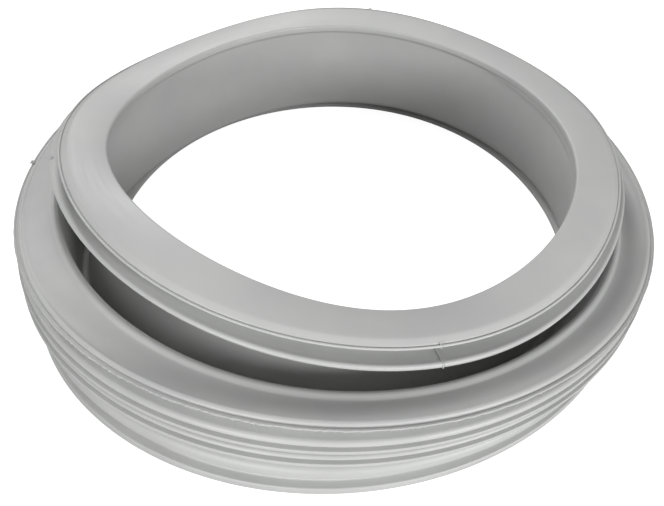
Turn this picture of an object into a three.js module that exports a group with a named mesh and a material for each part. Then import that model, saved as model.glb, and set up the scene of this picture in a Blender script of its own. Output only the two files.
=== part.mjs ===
// Door seal of a front-loading washing machine, one moulded piece of light grey rubber.
// Lengths are millimetres, angles are degrees. Z points up and the seal stands on z = 0.
// Angles round the ring run anticlockwise seen from above: 0 is the right side, -90 the front.
// The seal is one closed wall: a section drawn in radius and height, swept once round.
import * as THREE from 'three';

// Overall sizes
const rimRadius = 200;
const rimHeight = 59;
const wall = 3.2;

// Lower collar, from the floor up
const footEdgeRadiusDrop = 2.9;
const footEdgeHeight = 2.4;
const footBandInset = 5.2;
const stepHeight = 13.3;
const stepInset = 2.7;
const bandNeckInset = 8;
const ribPitch = 10.5;
const lowerRibHeight = 33.2;
const lowerRibReach = 2.3;
const upperRibReach = 1.8;
const ribThickness = 2;
const ribGrooveInset = 1.6;
const recessInset = 6;
const collarWall = 3.8;

// Bottom flange, turned inwards along the floor
const bottomFlangeThickness = 2.8;
const bottomOpeningInset = 38;
const bottomEdgeShiftRight = 3.6;
const bottomEdgeShiftBack = 3.7;
const bottomEdgeOval = 9.4;
const bottomEdgeOvalToward = 12;

// Rim with its moulding line, then the hollow flange and the crest at its inner edge
const rimLip = 1.4;
const rimBeadRadius = 1.7;
const rimBeadInset = 3.5;
const flangeWidth = 23.1;
const flangeSag = 2.2;
const crestRadius = 3;
const crestDrop = 0.1;

// Trough between the crest and the neck
const troughInset = 36.8;
const troughHeight = 14.6;
const troughRadius = 2.4;

// Mouth ring: lip, clamp groove and second lip, then the roll at the door opening
const mouthInset = 32;
const mouthRise = 26.9;
const mouthWidth = 24.4;
const openingRollRadius = 3.4;
const openingRollDrop = 0.65;
const topFaceRise = 3.1;
const chamferWidth = 4.1;
const lipThickness = 1.8;
const clampGrooveDepth = 7;
const clampGrooveHeight = 5.7;
const secondLipRadius = 1.8;
const secondLipReach = 5;
const neckFillet = 9;
const creaseDrop = 1.75;

// How the soft ring lies: each level leans and waves by these heights.
// A wave is highest towards its own angle.
const collarShiftRight = 6.3;
const collarTilt = 11;
const collarTiltToward = 166;
const collarSaddle = 4.9;
const collarSaddleToward = 80;
const crestShiftRight = 7.9;
const crestTilt = 16.8;
const crestTiltToward = 177.4;
const crestSaddle = 0.95;
const crestSaddleToward = -22;
const footTilt = 1.3;
const footTiltToward = -131;
const footSaddle = 2.7;
const footSaddleToward = 65;
const footThirdWave = 2.3;
const footThirdWaveToward = -30.6;
const mouthShiftRight = 13.3;
const mouthTilt = 18.8;
const mouthTiltToward = 163.3;
const mouthSaddle = 6.3;
const mouthSaddleToward = 35;
const mouthThirdWave = 3.05;
const mouthThirdWaveToward = -26.9;
const mouthFourthWave = 1.75;
const mouthFourthWaveToward = -0.5;
const mouthOval = 2.75;
const mouthOvalToward = 20;

// The mouth ring also rolls about its lip: down towards the opening where this is highest
const mouthRingDepth = 16;
const mouthRollAngle = 5.8;
const mouthRollToward = 139;
const mouthSecondRollAngle = 0.9;
const mouthSecondRollToward = 40;
const mouthThirdRollAngle = 4.15;
const mouthThirdRollToward = 53.6;
const mouthFourthRollAngle = 4.9;
const mouthFourthRollToward = 2;

// Steps round the ring
const sweepSteps = 64;

// Levels of the section, for the way the ring lies
const openingLevel = -1;
const floorLevel = 0;
const rimLevel = 1;
const crestLevel = 2;
const footLevel = 3;
const mouthLevel = 4;

function mix(a, b, t) {
  return a + (b - a) * t;
}

function wave(height, count, toward, angle) {
  return height * Math.cos(count * (angle - THREE.MathUtils.degToRad(toward)));
}

// A point of the section: radius, height and the level it moves with.
function at(radius, height, level) {
  return { radius, height, level };
}

// Points along an arc of the section, both ends included.
function arc(centreRadius, centreHeight, radius, from, to, steps, level) {
  const points = [];
  for (let i = 0; i <= steps; i += 1) {
    const turn = THREE.MathUtils.degToRad(mix(from, to, i / steps));
    points.push(at(centreRadius + radius * Math.cos(turn), centreHeight + radius * Math.sin(turn), level));
  }
  return points;
}

// Points along a curve that leaves the straight line between two ends by a sag to its right.
function sagging(start, end, sag, steps) {
  const points = [];
  const across = end.radius - start.radius;
  const up = end.height - start.height;
  const length = Math.hypot(across, up);
  for (let i = 1; i < steps; i += 1) {
    const t = i / steps;
    const off = sag * 4 * t * (1 - t);
    points.push(at(
      mix(start.radius, end.radius, t) + (off * up) / length,
      mix(start.height, end.height, t) - (off * across) / length,
      mix(start.level, end.level, t),
    ));
  }
  return points;
}

// Collar points lean with their height above the floor.
function collarPoint(inset, height) {
  return at(rimRadius - inset, height, height / rimHeight);
}

// The section, walked with the rubber on the right hand: mouth, outside down to the trough,
// over the crest and flange, down the collar, along the floor and back up the inside.
function sectionPoints() {
  const lip = at(rimRadius - mouthInset, rimHeight + mouthRise, mouthLevel);
  const crest = at(rimRadius - flangeWidth, rimHeight - crestDrop - crestRadius, crestLevel);
  const trough = at(rimRadius - troughInset, troughHeight, footLevel);
  const upperRibHeight = lowerRibHeight + ribPitch;
  const points = [];
  const add = (...more) => points.push(...more);

  // Roll at the door opening and the broad top face
  const roll = at(lip.radius - mouthWidth, lip.height - openingRollDrop, mouthLevel);
  add(...arc(roll.radius, roll.height, openingRollRadius, 245, 90, 4, mouthLevel));
  const chamferTop = at(lip.radius - chamferWidth - lipThickness / 2, lip.height + topFaceRise, mouthLevel);
  const rollTop = at(roll.radius, roll.height + openingRollRadius, mouthLevel);
  add(...sagging(rollTop, chamferTop, -0.5, 2));
  add(chamferTop);

  // Chamfer, fine line and thin lip
  add(at(lip.radius - lipThickness, lip.height + lipThickness * 0.45, mouthLevel));
  add(at(lip.radius - lipThickness * 0.72, lip.height + lipThickness * 0.22, mouthLevel));
  add(at(lip.radius - lipThickness * 0.3, lip.height + lipThickness * 0.4, mouthLevel));
  add(at(lip.radius, lip.height, mouthLevel));
  add(at(lip.radius - lipThickness * 0.3, lip.height - lipThickness * 0.5, mouthLevel));

  // Clamp groove, a half oval
  const grooveTop = lip.height - lipThickness * 0.6;
  for (const turn of [72, 38, 6, -28, -62]) {
    const angle = THREE.MathUtils.degToRad(turn);
    add(at(
      lip.radius - lipThickness - (clampGrooveDepth - lipThickness) * Math.cos(angle),
      grooveTop - (clampGrooveHeight / 2) * (1 - Math.sin(angle)),
      mouthLevel,
    ));
  }

  // Second lip, a round bead, and the underside that runs in to the neck
  const bead = at(
    lip.radius + secondLipReach - secondLipRadius,
    grooveTop - clampGrooveHeight - secondLipRadius,
    mouthLevel,
  );
  add(...arc(bead.radius, bead.height, secondLipRadius, 105, -105, 4, mouthLevel));

  // Neck: its inside leaves the crease under the roll and flares out to the trough
  const creaseHeight = lip.height - openingRollDrop - openingRollRadius - creaseDrop;
  const crease = at(roll.radius - openingRollRadius * 0.14, creaseHeight, mouthLevel);
  const neckInsideFoot = at(trough.radius - troughRadius - wall, trough.height, footLevel);
  const neckOutsideFoot = at(trough.radius - troughRadius, trough.height, footLevel);
  const filletHeight = bead.height - secondLipRadius - neckFillet;
  const neckShare = (height) => (height - trough.height) / (creaseHeight - trough.height);
  const neckRadius = mix(neckOutsideFoot.radius, crease.radius + wall, neckShare(filletHeight));
  const fillet = arc(neckRadius + neckFillet, filletHeight, neckFillet, 90, 180, 3, mouthLevel);
  for (const point of fillet) {
    point.level = mix(footLevel, mouthLevel, neckShare(point.height));
  }
  add(...fillet);
  add(...sagging(fillet[fillet.length - 1], neckOutsideFoot, 0, 3));

  // Trough and the wall that rises to the crest
  add(...arc(trough.radius, trough.height, troughRadius, 180, 360, 3, footLevel));
  const crestInside = at(crest.radius - crestRadius, crest.height, crestLevel);
  const troughOutside = at(trough.radius + troughRadius, trough.height, footLevel);
  add(...sagging(troughOutside, crestInside, 0, 2));

  // Crest and the hollow flange
  add(...arc(crest.radius, crest.height, crestRadius, 180, 80, 3, crestLevel));
  const flangeStart = points[points.length - 1];
  const rimBead = at(rimRadius - rimBeadInset, rimHeight - rimBeadRadius + 0.9, rimLevel);
  const beadArc = arc(rimBead.radius, rimBead.height, rimBeadRadius, 125, 35, 3, rimLevel);
  add(...sagging(flangeStart, beadArc[0], flangeSag, 4));
  add(...beadArc);

  // Fine groove and the thin rim
  add(at(rimRadius - rimLip, rimHeight - rimLip * 0.15, rimLevel));
  add(at(rimRadius - rimLip * 0.4, rimHeight + rimLip * 0.2, rimLevel));
  add(at(rimRadius, rimHeight - rimLip * 0.25, rimLevel));
  add(at(rimRadius - rimLip * 0.5, rimHeight - rimLip, rimLevel));

  // Recess under the rim, sloping out to the upper rib
  const recessTop = rimHeight - rimLip * 2.2;
  const recessBottom = upperRibHeight + ribThickness * 1.2;
  add(collarPoint(recessInset * 0.72, recessTop));
  add(collarPoint(recessInset, mix(recessTop, recessBottom, 0.3)));
  add(collarPoint(recessInset * 0.62, mix(recessTop, recessBottom, 0.72)));
  add(collarPoint(ribGrooveInset, recessBottom));

  // Two thin ribs with a groove between
  for (const [height, reach] of [[upperRibHeight, upperRibReach], [lowerRibHeight, lowerRibReach]]) {
    add(collarPoint(ribGrooveInset + 0.4, height + ribThickness * 0.75));
    add(collarPoint(-reach + 0.3, height + ribThickness * 0.35));
    add(collarPoint(-reach + 0.3, height - ribThickness * 0.35));
    add(collarPoint(ribGrooveInset + 0.4, height - ribThickness * 0.75));
    if (height === upperRibHeight) {
      add(collarPoint(ribGrooveInset - 0.3, height - ribPitch / 2));
    }
  }

  // Smooth band that swells out to a sharp step, then the upright foot band and its edge
  const bandTop = lowerRibHeight - ribThickness * 2.4;
  add(collarPoint(bandNeckInset * 0.8, bandTop + ribThickness * 0.6));
  add(collarPoint(bandNeckInset * 0.84, mix(bandTop, stepHeight, 0.3)));
  add(collarPoint(bandNeckInset * 0.55, mix(bandTop, stepHeight, 0.7)));
  add(collarPoint(stepInset, stepHeight + 0.6));
  add(collarPoint(stepInset + 0.4, stepHeight - 0.6));
  add(collarPoint(footBandInset, stepHeight - 1.4));
  add(collarPoint(footBandInset - 0.6, footEdgeHeight + 1));
  add(collarPoint(footEdgeRadiusDrop, footEdgeHeight * 0.6));
  add(at(rimRadius - footEdgeRadiusDrop - 0.4, 0, floorLevel));

  // Bottom flange with its inner edge
  const openingRadius = rimRadius - bottomOpeningInset;
  add(at(openingRadius + 0.8, 0, openingLevel));
  add(at(openingRadius, bottomFlangeThickness * 0.5, openingLevel));
  add(at(openingRadius + 0.8, bottomFlangeThickness, openingLevel));

  // Inside of the collar, under the flange and down behind the crest
  const bandInside = bandNeckInset * 0.84 + collarWall;
  const ribInside = ribGrooveInset + 0.4 + collarWall;
  const flangeInside = recessInset + collarWall;
  add(at(rimRadius - bandInside - 1.5, bottomFlangeThickness, floorLevel));
  add(collarPoint(bandInside - 1, bottomFlangeThickness + 2));
  add(collarPoint(bandInside, mix(bandTop, stepHeight, 0.3)));
  add(collarPoint(bandInside - 0.5, lowerRibHeight - ribThickness));
  add(collarPoint(ribInside, lowerRibHeight + ribThickness));
  add(collarPoint(ribInside, upperRibHeight));
  add(at(rimRadius - flangeInside, recessTop - wall, mix(rimLevel, crestLevel, 0.2)));
  const behindCrest = at(crestInside.radius + wall, crest.height - wall, crestLevel);
  add(at(crest.radius + crestRadius * 0.8, crest.height + crestRadius - wall * 1.35, crestLevel));
  add(behindCrest);
  const behindTrough = at(trough.radius + troughRadius + wall, trough.height, footLevel);
  add(...sagging(behindCrest, behindTrough, 0, 2));
  add(...arc(trough.radius, trough.height, troughRadius + wall, 0, -180, 5, footLevel));

  // Up the inside of the neck to the crease
  add(...sagging(neckInsideFoot, crease, 0, 3));
  add(crease);
  return points;
}

// How far each level has moved at one angle: to the right, up, out, and rolled.
function lie(level, angle) {
  const still = { right: 0, back: 0, up: 0, out: 0, roll: 0 };
  if (level === openingLevel) {
    const out = wave(bottomEdgeOval, 2, bottomEdgeOvalToward - 90, angle);
    return { ...still, right: bottomEdgeShiftRight, back: bottomEdgeShiftBack, out };
  }
  if (level === rimLevel) {
    const up = wave(collarTilt, 1, collarTiltToward, angle) + wave(collarSaddle, 2, collarSaddleToward, angle);
    return { ...still, right: collarShiftRight, up };
  }
  if (level === crestLevel) {
    const up = wave(crestTilt, 1, crestTiltToward, angle) + wave(crestSaddle, 2, crestSaddleToward, angle);
    return { ...still, right: crestShiftRight, up };
  }
  if (level === footLevel) {
    const up = wave(footTilt, 1, footTiltToward, angle)
      + wave(footSaddle, 2, footSaddleToward, angle)
      + wave(footThirdWave, 3, footThirdWaveToward, angle);
    return { ...still, up };
  }
  if (level === mouthLevel) {
    const up = wave(mouthTilt, 1, mouthTiltToward, angle)
      + wave(mouthSaddle, 2, mouthSaddleToward, angle)
      + wave(mouthThirdWave, 3, mouthThirdWaveToward, angle)
      + wave(mouthFourthWave, 4, mouthFourthWaveToward, angle);
    const roll = wave(mouthRollAngle, 1, mouthRollToward, angle)
      + wave(mouthSecondRollAngle, 2, mouthSecondRollToward, angle)
      + wave(mouthThirdRollAngle, 3, mouthThirdRollToward, angle)
      + wave(mouthFourthRollAngle, 4, mouthFourthRollToward, angle);
    return { ...still, right: mouthShiftRight, up, out: wave(mouthOval, 2, mouthOvalToward, angle), roll };
  }
  return still;
}

// One section point at one angle round the ring, with the lie of the levels on either side of it.
function placed(point, angle) {
  const below = Math.min(Math.max(Math.floor(point.level), openingLevel), mouthLevel - 1);
  const share = point.level - below;
  const low = lie(below, angle);
  const high = lie(below + 1, angle);
  const roll = THREE.MathUtils.degToRad(mix(low.roll, high.roll, share));
  const across = point.radius - (rimRadius - mouthInset);
  const above = Math.max(point.height - (rimHeight + mouthRise), -mouthRingDepth);
  const outward = across * (Math.cos(roll) - 1) - above * Math.sin(roll);
  const upward = across * Math.sin(roll) + above * (Math.cos(roll) - 1);
  const radius = point.radius + outward + mix(low.out, high.out, share);
  return new THREE.Vector3(
    radius * Math.cos(angle) + mix(low.right, high.right, share),
    radius * Math.sin(angle) + mix(low.back, high.back, share),
    point.height + upward + mix(low.up, high.up, share),
  );
}

const section = sectionPoints();
const positions = [];
for (let step = 0; step < sweepSteps; step += 1) {
  const angle = (step / sweepSteps) * Math.PI * 2;
  for (const point of section) {
    positions.push(placed(point, angle));
  }
}

// The box of the seal is centred over the origin.
const box = new THREE.Box3().setFromPoints(positions);
const middle = box.getCenter(new THREE.Vector3());
const coordinates = [];
for (const position of positions) {
  coordinates.push(position.x - middle.x, position.y - middle.y, position.z);
}

const triangles = [];
const count = section.length;
for (let step = 0; step < sweepSteps; step += 1) {
  const here = step * count;
  const next = ((step + 1) % sweepSteps) * count;
  for (let i = 0; i < count; i += 1) {
    const j = (i + 1) % count;
    triangles.push(here + i, next + j, next + i);
    triangles.push(here + i, here + j, next + j);
  }
}

const geometry = new THREE.BufferGeometry();
geometry.setAttribute('position', new THREE.Float32BufferAttribute(coordinates, 3));
geometry.setIndex(triangles);
geometry.computeVertexNormals();

const seal = new THREE.Mesh(geometry, new THREE.MeshStandardMaterial({ color: 0xb4b5b4, roughness: 0.6 }));
seal.name = 'door_seal';

const part = new THREE.Group();
part.name = 'washing_machine_door_seal';
part.add(seal);

export default part;
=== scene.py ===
# %% [markdown]
# # A washing machine door seal, in moulded rubber
# The seal of a front loader is one ring of soft rubber: a lip that grips the cabinet,
# a folded neck that lets the drum shake, and a ribbed collar that is clamped on the tub.
# This lesson draws its section once, sweeps it round, and lets the soft ring sag as it
# does on a table.

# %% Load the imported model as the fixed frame
import math

import bpy
import numpy as np
from mathutils import Matrix, Vector


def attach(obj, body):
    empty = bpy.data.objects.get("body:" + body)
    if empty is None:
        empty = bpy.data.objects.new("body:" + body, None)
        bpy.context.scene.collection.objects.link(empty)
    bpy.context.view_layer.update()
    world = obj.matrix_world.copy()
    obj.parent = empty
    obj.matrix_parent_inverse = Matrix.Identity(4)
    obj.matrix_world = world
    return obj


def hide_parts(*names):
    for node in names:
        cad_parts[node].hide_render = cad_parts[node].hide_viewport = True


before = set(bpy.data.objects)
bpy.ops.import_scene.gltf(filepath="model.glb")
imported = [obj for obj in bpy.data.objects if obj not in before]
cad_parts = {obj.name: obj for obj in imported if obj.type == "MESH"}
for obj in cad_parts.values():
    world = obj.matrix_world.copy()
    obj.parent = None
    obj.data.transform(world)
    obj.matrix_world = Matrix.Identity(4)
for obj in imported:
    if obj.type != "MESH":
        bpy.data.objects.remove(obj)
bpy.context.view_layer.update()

MM = 0.001

# %% [markdown]
# ## Sizes
# All lengths are millimetres and all angles degrees. Angles go round the ring from the
# right-hand side, anticlockwise seen from above, so -90 is the front. Insets run inwards
# from the rim, and heights up from the table. The ring lies where the solid model lies;
# the collar's shoulders, ribs and foot, and the clamp groove, are drawn up to about
# 2.5 mm finer than the solid has them.

# %% Main sizes of the moulded section
RIM_RADIUS = 200.0
RIM_HEIGHT = 59.0
WALL = 3.2

FLANGE_WIDTH = 23.1
CREST_RADIUS = 3.0
CREST_DROP = 0.1

TROUGH_INSET = 36.8
TROUGH_HEIGHT = 14.6
TROUGH_RADIUS = 2.4

MOUTH_INSET = 32.0
MOUTH_RISE = 26.9
MOUTH_WIDTH = 24.4
MOUTH_RING_DEPTH = 16.0
print("rim", 2 * RIM_RADIUS, "mm across, front lip", 2 * (RIM_RADIUS - MOUTH_INSET), "mm")

# %% [markdown]
# ## How the soft ring lies
# A new seal never stands true: the mouth leans, waves like a saddle and rolls about its
# lip. Each level of the section gets its own lean and waves, a few cosines each, and the
# rubber between two levels follows both. Cosines were chosen instead of sculpting
# because they close on themselves and keep every ring smooth.

# %% The lean and the waves of each level: height, count round the ring, highest towards
OPENING, FLOOR, RIM, CREST, FOOT, MOUTH = -1.0, 0.0, 1.0, 2.0, 3.0, 4.0

BOTTOM_EDGE_SHIFT = (3.6, 3.7)
BOTTOM_EDGE_OVAL = ((9.4, 2, -78.0),)
COLLAR_SHIFT_RIGHT = 6.3
COLLAR_WAVES = ((11.0, 1, 166.0), (4.9, 2, 80.0))
CREST_SHIFT_RIGHT = 7.9
CREST_WAVES = ((16.8, 1, 177.4), (0.95, 2, -22.0))
FOOT_WAVES = ((1.3, 1, -131.0), (2.7, 2, 65.0), (2.3, 3, -30.6))
MOUTH_SHIFT_RIGHT = 13.3
MOUTH_WAVES = ((18.8, 1, 163.3), (6.3, 2, 35.0), (3.05, 3, -26.9), (1.75, 4, -0.5))
MOUTH_OVAL = ((2.75, 2, 20.0),)
MOUTH_ROLL = ((5.8, 1, 139.0), (0.9, 2, 40.0), (4.15, 3, 53.6), (4.9, 4, 2.0))


def waves(parts, angle):
    """The sum of a few cosines round the ring."""
    return sum(height * np.cos(number * (angle - math.radians(toward))) for height, number, toward in parts)


def lie(level, angle):
    """Right, back, up, out and roll of one level at the angles given."""
    none = np.zeros_like(angle)
    if level == OPENING:
        right, back = BOTTOM_EDGE_SHIFT
        return none + right, none + back, none, waves(BOTTOM_EDGE_OVAL, angle), none
    if level == RIM:
        return none + COLLAR_SHIFT_RIGHT, none, waves(COLLAR_WAVES, angle), none, none
    if level == CREST:
        return none + CREST_SHIFT_RIGHT, none, waves(CREST_WAVES, angle), none, none
    if level == FOOT:
        return none, none, waves(FOOT_WAVES, angle), none, none
    if level == MOUTH:
        roll = np.radians(waves(MOUTH_ROLL, angle))
        return none + MOUTH_SHIFT_RIGHT, none, waves(MOUTH_WAVES, angle), waves(MOUTH_OVAL, angle), roll
    return none, none, none, none, none


def placed(point, angle):
    """One section point, swept through the angles given, in millimetres."""
    radius, height, level = point
    below = min(max(math.floor(level), int(OPENING)), int(FOOT))
    share = level - below
    low, high = lie(float(below), angle), lie(float(below + 1), angle)
    right, back, up, out, roll = [a + (b - a) * share for a, b in zip(low, high)]
    across = radius - (RIM_RADIUS - MOUTH_INSET)
    above = max(height - (RIM_HEIGHT + MOUTH_RISE), -MOUTH_RING_DEPTH)
    reach = radius + across * (np.cos(roll) - 1) - above * np.sin(roll) + out
    lift = height + across * np.sin(roll) + above * (np.cos(roll) - 1) + up
    return np.stack([reach * np.cos(angle) + right, reach * np.sin(angle) + back, lift], axis=-1)


mouth_lift = waves(MOUTH_WAVES, np.linspace(0, 2 * math.pi, 181))
lowest, highest = round(float(mouth_lift.min()), 1), round(float(mouth_lift.max()), 1)
print("mouth ring, mm from level:", lowest, "to", highest)

# %% [markdown]
# ## Drawing the section
# A mould maker draws straight lines and arcs and then breaks every corner with a small
# radius. The same is done here: a corner is a radius, a height, the level it follows and
# a fillet size, and one function turns each fillet into a short curve. Thin lips keep
# almost no fillet, so they stay crisp.

# %% Helpers that draw the outline
MOST_OF_A_SIDE = 0.45


def mix(a, b, t):
    return a + (b - a) * t


def arc(radius, height, size, start, end, steps, level):
    turns = np.radians(np.linspace(start, end, steps + 1))
    return [(radius + size * math.cos(t), height + size * math.sin(t), level, 0.0) for t in turns]


def sagging(start, end, sag, steps):
    """Points between two ends, along a shallow curve to the right of the way there."""
    across, up = end[0] - start[0], end[1] - start[1]
    length = math.hypot(across, up)
    points = []
    for t in np.linspace(0, 1, steps + 1)[1:-1]:
        off = sag * 4 * t * (1 - t)
        points.append((mix(start[0], end[0], t) + off * up / length,
                       mix(start[1], end[1], t) - off * across / length,
                       mix(start[2], end[2], t), 0.0))
    return points


def collar(inset, height, fillet=0.0):
    """A corner of the collar, which leans with its height above the floor."""
    return RIM_RADIUS - inset, height, height / RIM_HEIGHT, fillet


def rounded(corners, steps=3):
    """Breaks each corner that has a fillet, on a closed outline."""
    outline = []
    for i, corner in enumerate(corners):
        neighbours = corners[i - 1], corners[(i + 1) % len(corners)]
        middle = np.array(corner[:3])
        if corner[3] <= 0:
            outline.append(middle)
            continue
        ends = []
        for other in neighbours:
            way = np.array(other[:3]) - middle
            length = math.hypot(way[0], way[1])
            ends.append(middle + way * min(corner[3] / length, MOST_OF_A_SIDE))
        for t in np.linspace(0, 1, steps + 1):
            outline.append(ends[0] * (1 - t) ** 2 + middle * 2 * t * (1 - t) + ends[1] * t ** 2)
    return outline


# %% [markdown]
# ## The mouth ring
# This is what the user sees: a roll at the door opening, a broad top face, and a thin lip
# that grips the edge of the cabinet. Under the lip runs the groove for the clamp wire.
# The lip and the fine line beside it are only a millimetre or two, so they are drawn point
# by point and the wide faces as long, slightly bulging curves.

# %% The section, from the roll at the opening outwards and down
OPENING_ROLL_RADIUS = 3.4
OPENING_ROLL_DROP = 0.65
OPENING_CORNER_RADIUS = 1.4
OPENING_CORNER_IN = 1.55
OPENING_CORNER_UP = 1.3
TOP_FACE_RISE = 3.1
TOP_FACE_BULGE = 0.5
CHAMFER_WIDTH = 4.1
LIP_THICKNESS = 1.8

lip = (RIM_RADIUS - MOUTH_INSET, RIM_HEIGHT + MOUTH_RISE, MOUTH)
crest = (RIM_RADIUS - FLANGE_WIDTH, RIM_HEIGHT - CREST_DROP - CREST_RADIUS, CREST)
trough = (RIM_RADIUS - TROUGH_INSET, TROUGH_HEIGHT, FOOT)
roll = (lip[0] - MOUTH_WIDTH, lip[1] - OPENING_ROLL_DROP, MOUTH)


def by_lip(out, up, fillet):
    """A corner of the mouth ring, placed from the outer edge of the thin lip."""
    return lip[0] + out, lip[1] + up, MOUTH, fillet


section = []
section += arc(roll[0], roll[1], OPENING_ROLL_RADIUS, 245, 208, 4, MOUTH)
section += arc(roll[0] - OPENING_CORNER_IN, roll[1] + OPENING_CORNER_UP, OPENING_CORNER_RADIUS,
               188, 95, 8, MOUTH)
chamfer_top = by_lip(-CHAMFER_WIDTH - LIP_THICKNESS / 2, TOP_FACE_RISE, 0.9)
section += sagging(section[-1], chamfer_top, -TOP_FACE_BULGE, 8)
section += [
    chamfer_top,
    by_lip(-2.1, 0.95, 0.25),
    by_lip(-1.6, 0.05, 0.12),
    by_lip(-1.05, 0.85, 0.3),
    by_lip(-0.35, 0.75, 0.35),
    by_lip(0.0, 0.0, 0.35),
    by_lip(-0.55, -0.85, 0.4),
]
print("top of the mouth ring:", len(section), "drawn points")

# %% The clamp groove and the second lip
CLAMP_GROOVE_DEPTH = 8.8
CLAMP_GROOVE_HEIGHT = 5.7
CLAMP_GROOVE_TOP_FALL = 1.2
SHELF_FALL = 0.7
SHELF_REACH = 1.2
SECOND_LIP_RADIUS = 1.8
SECOND_LIP_REACH = 5.0

groove_top = lip[1] - LIP_THICKNESS * 0.6
groove_foot = groove_top - CLAMP_GROOVE_HEIGHT
section += [
    (lip[0] - LIP_THICKNESS, groove_top - 0.15, MOUTH, 0.6),
    (lip[0] - CLAMP_GROOVE_DEPTH, groove_top - CLAMP_GROOVE_TOP_FALL, MOUTH, 1.8),
    (lip[0] - CLAMP_GROOVE_DEPTH, groove_foot - SHELF_FALL, MOUTH, 1.5),
    (lip[0] + SHELF_REACH, groove_foot - 0.25, MOUTH, 0.5),
]
bead = (lip[0] + SECOND_LIP_REACH - SECOND_LIP_RADIUS, groove_foot - SECOND_LIP_RADIUS, MOUTH)
section += arc(bead[0], bead[1], SECOND_LIP_RADIUS, 105, 0, 6, MOUTH)
section += arc(bead[0], bead[1], SECOND_LIP_RADIUS, -17, -105, 5, MOUTH)
print("clamp groove", CLAMP_GROOVE_DEPTH, "mm deep, second lip", SECOND_LIP_REACH, "mm out")

# %% The neck and the trough under it
NECK_FILLET = 9.0
CREASE_DROP = 1.75
CREASE_SHARE = 0.14

crease_height = lip[1] - OPENING_ROLL_DROP - OPENING_ROLL_RADIUS - CREASE_DROP
crease = (roll[0] - OPENING_ROLL_RADIUS * CREASE_SHARE, crease_height, MOUTH, 0.6)
neck_foot = (trough[0] - TROUGH_RADIUS, trough[1], FOOT)
fillet_height = bead[1] - SECOND_LIP_RADIUS - NECK_FILLET


def neck_share(height):
    return (height - trough[1]) / (crease_height - trough[1])


fillet_radius = mix(neck_foot[0], crease[0] + WALL, neck_share(fillet_height)) + NECK_FILLET
for point in arc(fillet_radius, fillet_height, NECK_FILLET, 90, 180, 10, MOUTH):
    section.append((point[0], point[1], mix(FOOT, MOUTH, neck_share(point[1])), 0.0))
section += sagging(section[-1], neck_foot, 0, 10)
section += arc(trough[0], trough[1], TROUGH_RADIUS, 180, 360, 8, FOOT)
crest_inside = (crest[0] - CREST_RADIUS, crest[1], CREST)
section += sagging(section[-1], crest_inside, 0, 8)
print("neck", round(crease_height - trough[1], 1), "mm high")

# %% [markdown]
# ## The flange and the rim
# Round the collar's top lies a hollow, sloping flange that ends in a bead and a thin rim.
# Next to it the collar has a recess. A straight line would look like sheet metal here, so
# the flange is a shallow curve and the rim gets its fine groove from six small corners.

# %% The crest, the hollow flange and the thin rim
FLANGE_SAG = 1.32
RIM_BEAD_RADIUS = 1.7
RIM_BEAD_INSET = 3.5
RIM_BEAD_RISE = 0.75

section += arc(crest[0], crest[1], CREST_RADIUS, 180, 58, 11, CREST)
section.append((crest[0] + CREST_RADIUS * 0.95, crest[1] + CREST_RADIUS * 0.38, CREST, 0.6))
bead_top = arc(RIM_RADIUS - RIM_BEAD_INSET, RIM_HEIGHT - RIM_BEAD_RADIUS + RIM_BEAD_RISE, RIM_BEAD_RADIUS,
               135, 10, 9, RIM)
section += sagging(section[-1], bead_top[0], FLANGE_SAG, 12)
section += bead_top
for out, down, fillet in ((-1.75, 1.15, 0.4), (-0.8, 1.2, 0.3), (-0.25, 0.6, 0.25),
                          (0.35, 0.7, 0.25), (0.3, 1.6, 0.25), (-0.9, 2.3, 0.4)):
    section.append((RIM_RADIUS + out, RIM_HEIGHT - down, RIM, fillet))
print("crest, flange and rim drawn, points so far:", len(section))

# %% [markdown]
# ## The ribbed collar
# The collar fits over the tub, and its shoulders and thin ribs keep it stiff. What makes
# them read in the light is that each shoulder and rib is level on top and upright in
# front, with shade under it. So every one is drawn as a level start, a tight turn and an
# upright face, instead of as an even wave.

# %% The collar, from the rim down: shoulders that turn over, each with a thin rib under it
RIM_LIP_HEIGHT = 3.08
RECESS_TOP_INSET = 4.32
RECESS_INSET = 8.4
SHOULDER_START = 84
UPPER_SHOULDER = {"inset": 2.5, "height": 45.3, "radius": 2.9, "end": 4, "rib_height": 42.15}
LOWER_SHOULDER = {"inset": 2.1, "height": 34.3, "radius": 2.5, "end": 18, "rib_height": 31.95}
RIB_THICKNESS = 2.3
RIB_FACE = 1.7
RIB_GROOVE_INSET = 1.6
UNDER_RIB_INSET = 2.6
VALLEY_INSET = 5.4
VALLEY_TOP = 39.6
VALLEY_FOOT = 37.4

recess_top = RIM_HEIGHT - RIM_LIP_HEIGHT
section += [
    collar(RECESS_TOP_INSET, recess_top, 1.2),
    collar(RECESS_INSET + 0.2, 52.6, 1.8),
    collar(RECESS_INSET, 48.9, 1.0),
]


def collar_arc(inset, height, size, start, end, steps):
    """An arc of the collar's outline, which leans with its height above the floor."""
    points = arc(RIM_RADIUS - inset, height, size, start, end, steps, RIM)
    return [collar(RIM_RADIUS - p[0], p[1]) for p in points]


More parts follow.
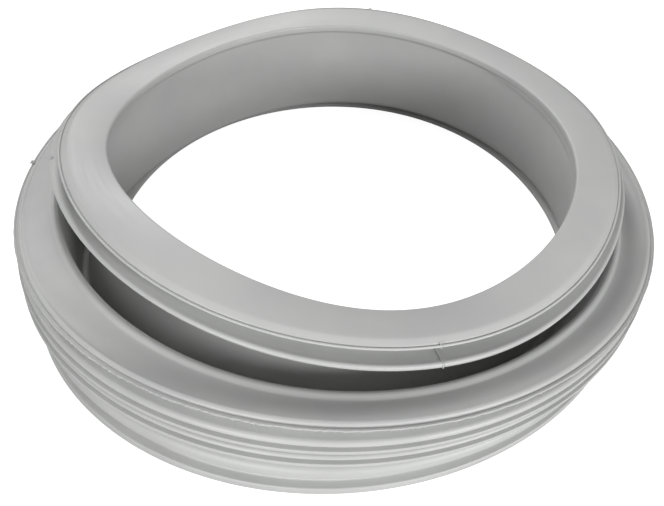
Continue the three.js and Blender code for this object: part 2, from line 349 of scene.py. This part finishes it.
for shoulder in (UPPER_SHOULDER, LOWER_SHOULDER):
    section += collar_arc(shoulder["inset"], shoulder["height"], shoulder["radius"],
                          SHOULDER_START, shoulder["end"], 9)
    end_inset, end_height = RIM_RADIUS - section[-1][0], section[-1][1]
    rib_top = shoulder["rib_height"] + RIB_THICKNESS / 2
    rib_foot = shoulder["rib_height"] - RIB_THICKNESS / 2
    section += [
        collar(end_inset + 0.1, end_height - 0.3, 0.2),
        collar(RIB_GROOVE_INSET, end_height - 0.8, 0.3),
        collar(RIB_GROOVE_INSET, rib_top, 0.3),
        collar(-RIB_FACE, rib_top - 0.1, 0.6),
        collar(-RIB_FACE, rib_foot, 0.45),
        collar(UNDER_RIB_INSET, rib_foot - 0.3, 0.5),
    ]
    if shoulder is UPPER_SHOULDER:
        section += [collar(VALLEY_INSET, VALLEY_TOP, 0.9), collar(VALLEY_INSET, VALLEY_FOOT, 0.8)]
print("ribs", round(UPPER_SHOULDER["rib_height"] - LOWER_SHOULDER["rib_height"], 1), "mm apart")

# %% The swelling band, the step and the foot
BAND_NECK_INSET = 8.0
BAND_INSET = 6.75
BAND_HEIGHT = 16.9
BAND_RADIUS = 4.05
STEP_HEIGHT = 13.3
STEP_INSET = 2.7
FOOT_BAND_INSET = 8.2
FOOT_EDGE_INSET = 2.9

section += [
    collar(4.6, 28.6, 1.6),
    collar(BAND_NECK_INSET, 25.6, 1.8),
    collar(BAND_NECK_INSET - 0.6, 22.3, 1.0),
]
section += collar_arc(BAND_INSET, BAND_HEIGHT, BAND_RADIUS, 72, 6, 9)
section += [
    collar(STEP_INSET, STEP_HEIGHT + 1.1, 0.4),
    collar(STEP_INSET + 0.5, STEP_HEIGHT + 0.3, 0.3),
    collar(FOOT_BAND_INSET, STEP_HEIGHT - 0.8, 1.0),
    collar(FOOT_BAND_INSET + 0.2, 5.0, 1.0),
    collar(FOOT_EDGE_INSET + 0.6, 4.6, 0.4),
    collar(FOOT_EDGE_INSET, 3.8, 0.4),
    collar(FOOT_EDGE_INSET, 0.5, 0.3),
    (RIM_RADIUS - FOOT_EDGE_INSET - 0.4, 0.0, FLOOR, 0.0),
]
print("foot edge", 2 * (RIM_RADIUS - FOOT_EDGE_INSET), "mm across, step at", STEP_HEIGHT, "mm")

# %% The floor flange and the inside of the seal
BOTTOM_FLANGE_THICKNESS = 2.8
BOTTOM_OPENING_INSET = 38.0
COLLAR_WALL = 3.8
BAND_INSIDE_INSET = 12.4
BAND_INSIDE_HEIGHT = 23.366
RIB_INSIDE_INSET = 9.0
RIB_INSIDE_FOOT = 30.9
RIB_INSIDE_TOP = 35.5
RECESS_INSIDE_HEIGHT = 43.7

opening_radius = RIM_RADIUS - BOTTOM_OPENING_INSET
section += [
    (opening_radius + 0.8, 0.0, OPENING, 0.0),
    (opening_radius, BOTTOM_FLANGE_THICKNESS * 0.5, OPENING, 0.9),
    (opening_radius + 0.8, BOTTOM_FLANGE_THICKNESS, OPENING, 0.0),
    (RIM_RADIUS - BAND_INSIDE_INSET - 1.5, BOTTOM_FLANGE_THICKNESS, FLOOR, 1.2),
    collar(BAND_INSIDE_INSET - 1, BOTTOM_FLANGE_THICKNESS + 2, 1.2),
    collar(BAND_INSIDE_INSET, BAND_INSIDE_HEIGHT, 3.0),
    collar(BAND_INSIDE_INSET - 0.5, RIB_INSIDE_FOOT, 2.0),
    collar(RIB_INSIDE_INSET, RIB_INSIDE_TOP, 2.0),
    collar(RIB_INSIDE_INSET, RECESS_INSIDE_HEIGHT, 3.0),
    (RIM_RADIUS - RECESS_INSET - COLLAR_WALL, recess_top - WALL, mix(RIM, CREST, 0.2), 2.0),
    (crest[0] + CREST_RADIUS * 0.8, crest[1] + CREST_RADIUS - WALL * 1.35, CREST, 1.0),
    (crest_inside[0] + WALL, crest[1] - WALL, CREST, 1.0),
]
behind_trough = (trough[0] + TROUGH_RADIUS + WALL, trough[1], FOOT)
section += sagging(section[-1], behind_trough, 0, 8)
section += arc(trough[0], trough[1], TROUGH_RADIUS + WALL, 0, -180, 12, FOOT)
wall_start = len(rounded(section))
section += sagging(section[-1], crease, 0, 12)
section.append(crease)
outline = rounded(section)
print("section:", len(section), "drawn points,", len(outline), "after the fillets")

# %% [markdown]
# ## Sweeping the ring
# Each outline point travels once round the ring, and the result is moved over the origin
# as the solid was. A UV map keeps the way round and the way along the
# section in real millimetres, so patterns can follow the moulding.

# %% Sweep the outline into rows of points
SWEEP_STEPS = 240
angles = np.linspace(0, 2 * math.pi, SWEEP_STEPS, endpoint=False)
swept = np.stack([placed(point, angles) for point in outline], axis=1)

# On the right the inner wall leans in under the roll, so the crease there is open and flat.
FLAT_CREASE_TOWARD = -20.0
FLAT_CREASE_SPREAD = 65.0
FLAT_CREASE_REACH = 2.6
FLAT_CREASE_ONSET = 2.2
FLAT_CREASE_CURVE = 1.5
flat_edge = math.cos(math.radians(FLAT_CREASE_SPREAD))
nearness = (np.cos(angles - math.radians(FLAT_CREASE_TOWARD)) - flat_edge) / (1 - flat_edge)
flatter = np.clip(nearness * FLAT_CREASE_ONSET, 0, 1)
wall_share = np.linspace(0, 1, len(outline) - wall_start) ** FLAT_CREASE_CURVE
inward = -np.stack([np.cos(angles), np.sin(angles), 0 * angles], axis=-1)
swept[:, wall_start:] += inward[:, None] * (FLAT_CREASE_REACH * flatter[:, None] * wall_share)[..., None]

# The middle of the solid's box before it was moved over the origin.
SOLID_MIDDLE = np.array([3.86, 0.0, 0.0])
vertices = (swept - SOLID_MIDDLE).reshape(-1, 3) * MM
print("swept", SWEEP_STEPS, "times", len(outline), "points")

# %% Join the rows into one mesh, with its UV map
count = len(outline)
first = np.arange(SWEEP_STEPS)[:, None] * count
second = ((np.arange(SWEEP_STEPS) + 1) % SWEEP_STEPS)[:, None] * count
here_i = np.arange(count)[None, :]
next_i = (here_i + 1) % count
faces = np.stack([first + here_i, first + next_i, second + next_i, second + here_i], axis=-1)
faces = faces.reshape(-1, 4)

drawn = np.array([p[:2] for p in outline])
along = np.concatenate([[0.0], np.cumsum(np.hypot(*np.diff(drawn, axis=0, append=drawn[:1]).T))])
around = np.linspace(0, 2 * math.pi * RIM_RADIUS, SWEEP_STEPS + 1)
u = np.stack([np.broadcast_to(around[:-1, None], (SWEEP_STEPS, count))] * 2
             + [np.broadcast_to(around[1:, None], (SWEEP_STEPS, count))] * 2, axis=-1)
v = np.stack([along[:-1], along[1:], along[1:], along[:-1]], axis=-1)
v = np.broadcast_to(v, (SWEEP_STEPS, count, 4))


def mesh_object(name, points, polygons, body="root"):
    """A smooth-shaded mesh that rides with the seal."""
    mesh = bpy.data.meshes.new(name)
    mesh.from_pydata([tuple(p) for p in points], [], [tuple(map(int, f)) for f in polygons])
    mesh.polygons.foreach_set("use_smooth", np.ones(len(mesh.polygons), dtype=bool))
    mesh.validate()
    mesh.update()
    made = bpy.data.objects.new(name, mesh)
    bpy.context.scene.collection.objects.link(made)
    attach(made, body)
    return made


seal = mesh_object("seal_ring", vertices, faces[:, ::-1])
uv = seal.data.uv_layers.new(name="moulding")
flat = np.stack([u, v], axis=-1).reshape(-1, 4, 2)[:, ::-1].reshape(-1) * MM
uv.data.foreach_set("uv", flat)
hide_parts("door_seal")
print("ring:", len(vertices), "points,", len(faces), "faces")

# %% [markdown]
# ## What the mould left: the flash
# The rubber is forced into a mould, and a thin film escapes where its halves meet. Torn
# off by hand, it leaves a ragged edge along the rim, most of it at the front left. It was
# built as a small strip of its own, since it breaks the even sweep, and random noise
# gives it its tears.

# %% The ragged flash along the rim
FLASH_STEPS = 1440
FLASH_REACH = 1.4
FLASH_OUTWARD = 0.5
FLASH_TOWARD = -128.0
FLASH_SPREAD = 42.0
FLASH_ALL_ROUND = 0.4
FLASH_CONTRAST = 1.7
FLASH_LOSS = 0.15
FLASH_LEAST = 0.25
COARSE_GRAIN = 3
FINE_GRAIN = 1
noise = np.random.default_rng(11)


def smooth_noise(steps, width):
    """Even noise round the ring, about 0 to 1, with grains the given number of steps wide."""
    grains = noise.random(steps // width)
    places = np.arange(steps) / width
    return np.interp(places, np.arange(len(grains) + 1), np.append(grains, grains[0]))


flash_angles = np.linspace(0, 2 * math.pi, FLASH_STEPS, endpoint=False)
ragged = 0.5 * smooth_noise(FLASH_STEPS, COARSE_GRAIN) + 0.5 * smooth_noise(FLASH_STEPS, FINE_GRAIN)
turned = np.exp(1j * (flash_angles - math.radians(FLASH_TOWARD)))
front_left = np.exp(-((np.degrees(np.angle(turned)) / FLASH_SPREAD) ** 2))
stronger = FLASH_ALL_ROUND + (1 - FLASH_ALL_ROUND) * front_left
reach_down = FLASH_REACH * stronger * np.clip(ragged * FLASH_CONTRAST - FLASH_LOSS, FLASH_LEAST, None)


def by_rim(out, down):
    """One row of points along the rim, from its outer edge."""
    return placed((RIM_RADIUS + out, RIM_HEIGHT - down, RIM), flash_angles)


outwards = [FLASH_OUTWARD * np.cos(flash_angles), FLASH_OUTWARD * np.sin(flash_angles)]
hanging = np.stack(outwards + [-np.ones_like(flash_angles)], axis=-1)
edge = by_rim(0.5, 1.0) + hanging * reach_down[:, None]
flash_points = (np.concatenate([by_rim(0.2, 0.45), edge, by_rim(-0.1, 1.6)]) - SOLID_MIDDLE) * MM
step = np.arange(FLASH_STEPS)
next_step = (step + 1) % FLASH_STEPS


def between_rows(one, other):
    """Four-sided faces between two of the three rows of points."""
    near, far = FLASH_STEPS * one, FLASH_STEPS * other
    return np.stack([step + near, next_step + near, next_step + far, step + far], axis=-1)


flash_faces = np.concatenate([between_rows(1, 0), between_rows(2, 1), between_rows(0, 2)])
flash = mesh_object("rim_flash", flash_points, flash_faces[:, ::-1])
print("flash hangs down up to", round(float(reach_down.max()), 2), "mm")

# %% [markdown]
# ## What the mould left: the parting mark
# A short line across the lip shows where the cores of the mould parted. It is a low ridge
# that follows the moulding, so the outline itself is used once more: its points from the
# fine line to the second lip are lifted a little and laid side by side.

# %% The parting mark across the lip, the groove and the second lip
PARTING_ANGLE = -75.8
PARTING_WIDTH = 1.1
PARTING_HEIGHT = 0.8
PARTING_WANDER = 0.35
PARTING_REACH = 3.0
# Across the ridge: a place in half widths, and a lift in heights. Its feet are in the skin.
PARTING_PROFILE = ((-1.0, -0.05), (-0.1, 1.0), (0.1, 1.0), (1.0, -0.05))

first_point = next(k for k, q in enumerate(outline) if q[0] > lip[0] - PARTING_REACH and q[1] > lip[1] - 1)
last_point = max(k for k, q in enumerate(outline) if q[2] == MOUTH and q[0] > lip[0] + PARTING_REACH)
stretch = np.array(outline[first_point:last_point + 1])
steps_along = np.gradient(stretch[:, :2], axis=0)
steps_along /= np.linalg.norm(steps_along, axis=1)[:, None]
off_surface = np.stack([-steps_along[:, 1], steps_along[:, 0]], axis=-1)
wander = PARTING_WANDER * np.sin(np.linspace(0, 5, len(stretch)))
rows = []
for side, lift in PARTING_PROFILE:
    row = stretch.copy()
    row[:, :2] += off_surface * lift * PARTING_HEIGHT
    way = math.radians(PARTING_ANGLE) + (side * PARTING_WIDTH / 2 + wander) / RIM_RADIUS
    rows.append([placed(q, np.array([a]))[0] for q, a in zip(row, way)])
long = len(stretch)
parting_points = (np.array(rows).reshape(-1, 3) - SOLID_MIDDLE) * MM
parting_faces = [(r * long + k, r * long + k + 1, (r + 1) * long + k + 1, (r + 1) * long + k)
                 for r in range(len(PARTING_PROFILE) - 1) for k in range(long - 1)]
parting = mesh_object("parting_mark", parting_points, parting_faces)
print("parting mark:", long, "points long")

# %% [markdown]
# ## What the mould left: nubs and specks
# The gates left small nubs, and a few grains of dust were pressed into the skin. A picture
# could show them, but as low, uneven lumps they catch the light by themselves. Most are
# flattened, because a steep lump would throw a dark shadow that the real ones don't have.

# %% Nubs of rubber and a few specks of dust pressed into the skin
LUMP_RINGS = 6
LUMP_SIDES = 10
LUMP_UNEVEN = 0.18
SPECK_SIZE = 0.45


def lump(name, point, angle, size, squash):
    """A rounded, slightly uneven lump half sunk in the surface at one place of the ring."""
    centre = placed(point, np.array([math.radians(angle)]))[0]
    points = []
    for r in range(LUMP_RINGS + 1):
        for s in range(LUMP_SIDES):
            t, a = math.pi * r / LUMP_RINGS, 2 * math.pi * s / LUMP_SIDES
            uneven = 1 + LUMP_UNEVEN * math.sin(3 * a + 2 * t + angle)
            points.append(centre + np.array([
                size * uneven * math.sin(t) * math.cos(a),
                size * uneven * math.sin(t) * math.sin(a),
                size * squash * math.cos(t)]))
    quads = []
    for r in range(LUMP_RINGS):
        upper, lower = r * LUMP_SIDES, (r + 1) * LUMP_SIDES
        for s in range(LUMP_SIDES):
            across = (s + 1) % LUMP_SIDES
            quads.append((upper + s, upper + across, lower + across, lower + s))
    return mesh_object(name, (np.array(points) - SOLID_MIDDLE) * MM, np.array(quads)[:, ::-1])


def on_neck(share, out):
    """A point a share of the way up the neck, moved outwards from its inner face."""
    radius = mix(trough[0] - TROUGH_RADIUS - WALL + out, crease[0] + out, share)
    return radius, mix(trough[1], crease_height, share), mix(FOOT, MOUTH, share)


second_lip_place = (lip[0] + SECOND_LIP_REACH - 0.9, bead[1] + 1.3, MOUTH)
rim_place = (RIM_RADIUS + 0.2, RIM_HEIGHT - 0.3, RIM)
lip_place = (lip[0] - 3.0, lip[1] + 2.2, MOUTH)
flange_place = (RIM_RADIUS - 6.0, RIM_HEIGHT - 0.9, mix(RIM, CREST, 0.26))
nubs = [
    lump("nub_second_lip", second_lip_place, angle=191.3, size=1.7, squash=0.5),
    lump("nub_rim", rim_place, angle=175.2, size=1.9, squash=0.5),
    lump("nub_lip_back", lip_place, angle=81.4, size=1.3, squash=0.9),
]
specks = [
    lump("speck_inside", on_neck(0.2, 0.0), angle=151.0, size=SPECK_SIZE, squash=0.8),
    lump("speck_neck", on_neck(0.47, WALL), angle=-127.5, size=SPECK_SIZE, squash=0.8),
    lump("speck_flange", flange_place, angle=-24.2, size=SPECK_SIZE, squash=0.5),
]
print("small pieces:", 2 + len(nubs) + len(specks))

# %% [markdown]
# ## The rubber
# Door seals are moulded in EPDM rubber, filled and coloured light grey. It leaves the
# mould with a satin skin: a soft, wide gloss, a very fine grain, faint flow marks and
# here and there a chalky bloom. So the colour barely changes, and the roughness and a
# slight bump do most of the work.

# %% Colours and the one helper that adds a node
def linear(hex_colour):
    """An sRGB hex colour as linear values for a shader."""
    values = [int(hex_colour[i:i + 2], 16) / 255 for i in (1, 3, 5)]
    return tuple(c / 12.92 if c <= 0.04045 else ((c + 0.055) / 1.055) ** 2.4 for c in values) + (1.0,)


def add_node(tree, kind, settings=None, inputs=None):
    node = tree.nodes.new(kind)
    for name, value in (settings or {}).items():
        setattr(node, name, value)
    for name, value in (inputs or {}).items():
        if isinstance(value, bpy.types.NodeSocket):
            tree.links.new(value, node.inputs[name])
        else:
            node.inputs[name].default_value = value
    return node


def new_material(name):
    material = bpy.data.materials.new(name)
    material.use_nodes = True
    material.node_tree.nodes.clear()
    return material, material.node_tree


# %% Moulded EPDM rubber, light grey, satin from the mould
BLOOM_PATCH = 45.0
FLOW_LENGTH = 60.0
FLOW_WIDTH = 2.0
DRAWN_GRAIN = 1.2


def moulded_rubber(name, colour, bloom_colour):
    material, tree = new_material(name)
    place = add_node(tree, "ShaderNodeTexCoord")
    way = add_node(tree, "ShaderNodeUVMap", {"uv_map": "moulding"})
    # Chalky bloom in soft patches about 45 mm across.
    bloom = add_node(tree, "ShaderNodeTexNoise", None, {
        "Vector": place.outputs["Object"], "Scale": 1 / (BLOOM_PATCH * MM),
        "Detail": 4.0, "Roughness": 0.55})
    bloom_share = add_node(tree, "ShaderNodeMapRange", None, {
        "Value": bloom.outputs["Fac"], "From Min": 0.35, "From Max": 0.75, "To Min": 0.0, "To Max": 1.0})
    tint = add_node(tree, "ShaderNodeMix", {"data_type": "RGBA"}, {
        0: bloom_share.outputs["Result"], 6: linear(colour), 7: linear(bloom_colour)})
    # Flow marks run along the ring: about 2 mm wide and 60 mm long.
    stretched = add_node(tree, "ShaderNodeMapping", None, {
        "Vector": way.outputs["UV"], "Scale": (1 / (FLOW_LENGTH * MM), 1 / (FLOW_WIDTH * MM), 1.0)})
    flow = add_node(tree, "ShaderNodeTexNoise", None, {
        "Vector": stretched.outputs["Vector"], "Scale": 1.0, "Detail": 3.0, "Roughness": 0.5})
    # The grain of the mould is about 0.2 mm; it is drawn at 1.2 mm so that it can show.
    grain = add_node(tree, "ShaderNodeTexNoise", None, {
        "Vector": place.outputs["Object"], "Scale": 1 / (DRAWN_GRAIN * MM),
        "Detail": 2.0, "Roughness": 0.6})
    sheen = add_node(tree, "ShaderNodeMapRange", None, {
        "Value": flow.outputs["Fac"], "From Min": 0.3, "From Max": 0.7, "To Min": 0.4, "To Max": 0.5})
    flow_bump = add_node(tree, "ShaderNodeBump", None, {
        "Strength": 0.12, "Distance": 0.0002, "Height": flow.outputs["Fac"]})
    grain_bump = add_node(tree, "ShaderNodeBump", None, {
        "Strength": 0.18, "Distance": 0.0002, "Height": grain.outputs["Fac"],
        "Normal": flow_bump.outputs["Normal"]})
    shader = add_node(tree, "ShaderNodeBsdfPrincipled", None, {
        "Base Color": tint.outputs[2], "Roughness": sheen.outputs["Result"], "IOR": 1.5,
        "Normal": grain_bump.outputs["Normal"]})
    add_node(tree, "ShaderNodeOutputMaterial", None, {"Surface": shader.outputs["BSDF"]})
    return material


rubber = moulded_rubber("moulded EPDM rubber, light grey", "#BBBCBB", "#C3C4C2")
for piece in [seal, flash, parting, *nubs]:
    piece.data.materials.append(rubber)
print("moulded rubber on", 3 + len(nubs), "pieces")

# %% [markdown]
# ## The dust
# Grains of mineral filler lie about in a moulding shop, and some are pressed into the
# skin. They have no satin skin of their own, so they look matt and a little paler than the
# rubber round them. They are far too small for more than a rough, gritty grey.

# %% Dust from the press: matt, pale grey
GRIT = 0.4


def pressed_dust():
    material, tree = new_material("pressed dust, grey")
    place = add_node(tree, "ShaderNodeTexCoord")
    grit = add_node(tree, "ShaderNodeTexNoise", None, {
        "Vector": place.outputs["Object"], "Scale": 1 / (GRIT * MM), "Detail": 2.0})
    rough = add_node(tree, "ShaderNodeMapRange", None, {
        "Value": grit.outputs["Fac"], "From Min": 0.3, "From Max": 0.7, "To Min": 0.7, "To Max": 0.9})
    bump = add_node(tree, "ShaderNodeBump", None, {
        "Strength": 0.4, "Distance": 0.0001, "Height": grit.outputs["Fac"]})
    shader = add_node(tree, "ShaderNodeBsdfPrincipled", None, {
        "Base Color": linear("#D4D4D2"), "Roughness": rough.outputs["Result"], "IOR": 1.5,
        "Normal": bump.outputs["Normal"]})
    add_node(tree, "ShaderNodeOutputMaterial", None, {"Surface": shader.outputs["BSDF"]})
    return material


dust = pressed_dust()
for piece in specks:
    piece.data.materials.append(dust)
print("pressed dust on", len(specks), "specks")

# %% [markdown]
# ## Camera
# The photo was taken from the front and above, close to the seal, so its near side looks
# clearly larger. The camera was found from the rings of the collar, which are circles on
# the real part: 42 degrees above the table and about 56 cm from the middle.

# %% Place the camera
ELEVATION = 42.35
DISTANCE = 559.0
SIDE_TILT = -2.06
AIM_RIGHT = 2.16
AIM_UP = -7.89
LENS = 43.37

tilt = math.radians(ELEVATION)
back = Vector((0.0, -math.cos(tilt), math.sin(tilt)))
level_right = Vector((1.0, 0.0, 0.0))
level_up = back.cross(level_right)
turn = math.radians(SIDE_TILT)
right = level_right * math.cos(turn) + level_up * math.sin(turn)
up = level_up * math.cos(turn) - level_right * math.sin(turn)
camera_place = (right * AIM_RIGHT + up * AIM_UP + back * DISTANCE - Vector(SOLID_MIDDLE)) * MM

camera_data = bpy.data.cameras.new("camera")
camera_data.sensor_width = 36.0
camera_data.lens = LENS
camera_data.clip_start = 0.01
camera = bpy.data.objects.new("camera", camera_data)
camera.matrix_world = Matrix((
    (right.x, up.x, back.x, camera_place.x),
    (right.y, up.y, back.y, camera_place.y),
    (right.z, up.z, back.z, camera_place.z),
    (0.0, 0.0, 0.0, 1.0),
))
bpy.context.scene.collection.objects.link(camera)
bpy.context.scene.camera = camera
print("camera at", [round(c, 4) for c in camera_place])

# %% [markdown]
# ## Floor and light
# A white table, an even white room and four soft lamps: two behind, which light the top
# faces and leave the near side of the flange in the shade of the mouth, and two low in
# front, which make every upright edge bright and leave the level faces under it dark. The
# white behind the seal comes from the floor's own glow for the camera, so the seal itself
# is not overlit.

# %% White floor that keeps the seal's shadow
FLOOR_HALF = 6.0
FLOOR_GAP = 0.2
TABLE_GLOW = 0.93
WHITE = (1.0, 1.0, 1.0, 1.0)
BLACK = (0.0, 0.0, 0.0, 1.0)
floor_mesh = bpy.data.meshes.new("floor")
floor_mesh.from_pydata([(-FLOOR_HALF, -FLOOR_HALF, 0), (FLOOR_HALF, -FLOOR_HALF, 0),
                        (FLOOR_HALF, FLOOR_HALF, 0), (-FLOOR_HALF, FLOOR_HALF, 0)], [], [(0, 1, 2, 3)])
floor = bpy.data.objects.new("floor", floor_mesh)
floor.location.z = -FLOOR_GAP * MM
bpy.context.scene.collection.objects.link(floor)


def white_table():
    material, tree = new_material("white table")
    matte = add_node(tree, "ShaderNodeBsdfDiffuse", None, {"Color": linear("#BCBCBC")})
    glow = add_node(tree, "ShaderNodeEmission", None, {"Color": WHITE, "Strength": TABLE_GLOW})
    seen = add_node(tree, "ShaderNodeLightPath")
    dark = add_node(tree, "ShaderNodeEmission", None, {"Color": BLACK})
    choice = add_node(tree, "ShaderNodeMixShader", None, {
        0: seen.outputs["Is Camera Ray"], 1: dark.outputs["Emission"], 2: glow.outputs["Emission"]})
    both = add_node(tree, "ShaderNodeAddShader", None, {
        0: matte.outputs["BSDF"], 1: choice.outputs["Shader"]})
    add_node(tree, "ShaderNodeOutputMaterial", None, {"Surface": both.outputs["Shader"]})
    return material


floor_mesh.materials.append(white_table())
print("table", 2 * FLOOR_HALF, "m wide")

# %% An even white room
ROOM_LIGHT = 0.31
world = bpy.data.worlds.new("white room")
world.use_nodes = True
tree = world.node_tree
tree.nodes.clear()
room_light = add_node(tree, "ShaderNodeBackground", None, {"Color": WHITE, "Strength": ROOM_LIGHT})
room_seen = add_node(tree, "ShaderNodeBackground", None, {"Color": WHITE, "Strength": 1.0})
path = add_node(tree, "ShaderNodeLightPath")
room = add_node(tree, "ShaderNodeMixShader", None, {
    0: path.outputs["Is Camera Ray"], 1: room_light.outputs["Background"],
    2: room_seen.outputs["Background"]})
add_node(tree, "ShaderNodeOutputWorld", None, {"Surface": room.outputs["Shader"]})
bpy.context.scene.world = world
print("room light", ROOM_LIGHT, "on the seal, plain white for the camera")

# %% Four soft lamps
LAMP_DISTANCE = 1.7
AIM_HEIGHT = 0.05


def soft_lamp(name, way_round, height, size, watts):
    """A round lamp at an angle round the seal and an angle above the table, in degrees."""
    a, e = math.radians(way_round), math.radians(height)
    along_floor = LAMP_DISTANCE * math.cos(e)
    position = Vector((along_floor * math.cos(a), along_floor * math.sin(a),
                       LAMP_DISTANCE * math.sin(e) + AIM_HEIGHT))
    data = bpy.data.lights.new(name, "AREA")
    data.shape = "DISK"
    data.size = size
    data.energy = watts
    lamp = bpy.data.objects.new(name, data)
    lamp.location = position
    aim = Vector((0.0, 0.0, AIM_HEIGHT)) - position
    lamp.rotation_euler = aim.to_track_quat("-Z", "Y").to_euler()
    bpy.context.scene.collection.objects.link(lamp)


soft_lamp("lamp behind", way_round=102.0, height=46.0, size=0.8, watts=12.2)
soft_lamp("lamp behind on the left", way_round=150.0, height=32.0, size=0.8, watts=4.0)
soft_lamp("lamp in front on the right", way_round=-52.0, height=13.0, size=0.6, watts=17.0)
soft_lamp("lamp in front on the left", way_round=-118.0, height=9.0, size=0.6, watts=12.5)
bpy.context.scene.view_settings.view_transform = "Standard"
print("lamps", LAMP_DISTANCE, "m from the seal:", [lamp.name for lamp in bpy.data.lights])
